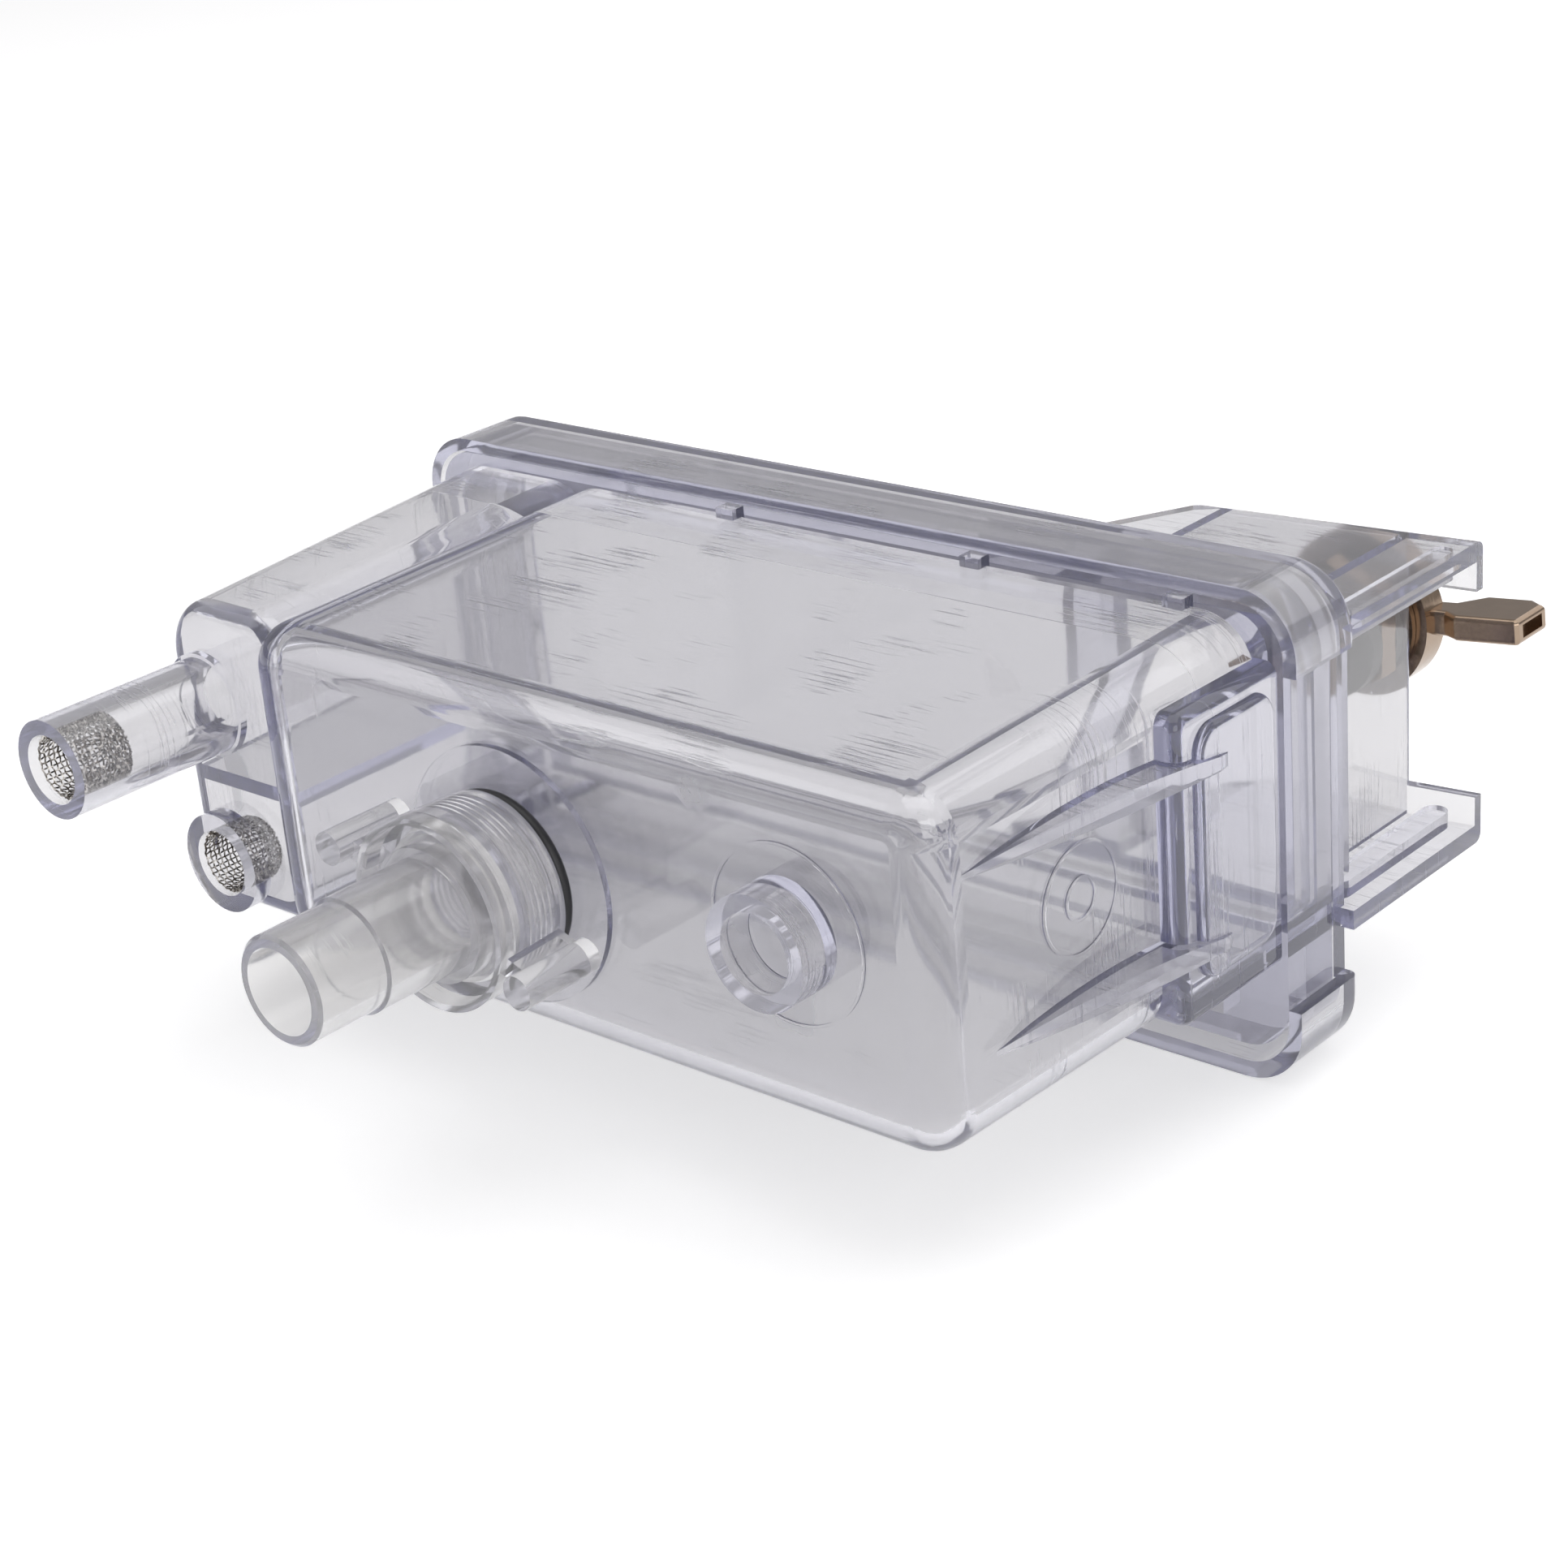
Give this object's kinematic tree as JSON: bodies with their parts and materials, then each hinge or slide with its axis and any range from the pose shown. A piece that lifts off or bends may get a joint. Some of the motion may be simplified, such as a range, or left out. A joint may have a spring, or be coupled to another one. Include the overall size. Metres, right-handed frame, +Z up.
{
  "type": "fresh water tank",
  "caption": "Small clear moulded feed tank with a press-on lid, three hose tails, a threaded outlet and an inlet stem.",
  "frame": {"origin": "centre of the footprint, on the lowest surface, which is the lower skirt of the lid", "axes": "+X along the tank's length away from the overflow chamber, +Y from the bottom face to the lid, +Z up through the thickness with the tank lying on its broad side"},
  "size_m": [0.174, 0.1743, 0.0747],
  "materials": {
    "clear_tank": "clear moulded polycarbonate, lightly scratched",
    "clear_lid": "clear moulded polycarbonate",
    "clear_fitting": "clear moulded polycarbonate",
    "steel_mesh": "fine woven stainless mesh",
    "black_rubber": "smooth",
    "grey_rubber": "smooth",
    "bronze": "dark polished"
  },
  "bodies": {
    "tank": {"tank_body": "clear_tank", "overflow_screen": "steel_mesh", "vent_screen": "steel_mesh", "outlet_o_ring": "black_rubber"},
    "lid_assembly": {"lid": "clear_lid", "inlet_stem": "bronze", "inlet_seal_washer": "grey_rubber", "inlet_backing_washer": "grey_rubber"},
    "washer": {"nut_washer": "bronze"},
    "nut": {"wing_nut": "bronze"},
    "outlet": {"outlet_hose_tail": "clear_fitting"},
    "collar": {"outlet_collar_nut": "clear_fitting"}
  },
  "joints": [
    {"name": "lid_pull", "type": "slide", "parent": "tank", "child": "lid_assembly", "axis": [0, 1, 0], "range_m": [0, 0.04]},
    {"name": "washer_slide", "type": "slide", "parent": "lid_assembly", "child": "washer", "axis": [0, 1, 0], "range_m": [0, 0.0062]},
    {"name": "wing_turn", "type": "hinge", "parent": "washer", "child": "nut", "pos_m": [0.06075, 0.0771, 0.051], "axis": [0, 1, 0], "range_deg": [0, 1440]},
    {"name": "outlet_slide", "type": "slide", "parent": "tank", "child": "outlet", "axis": [0, -1, 0], "range_m": [0, 0.0083]},
    {"name": "collar_turn", "type": "hinge", "parent": "outlet", "child": "collar", "pos_m": [0, -0.056, 0.0426], "axis": [0, -1, 0], "range_deg": [0, 2880]}
  ],
  "couplings": [
    {"joint": "washer_slide", "follows": "wing_turn", "m_per_rad": 0.00023873},
    {"joint": "outlet_slide", "follows": "collar_turn", "m_per_rad": 0.00015915}
  ]
}
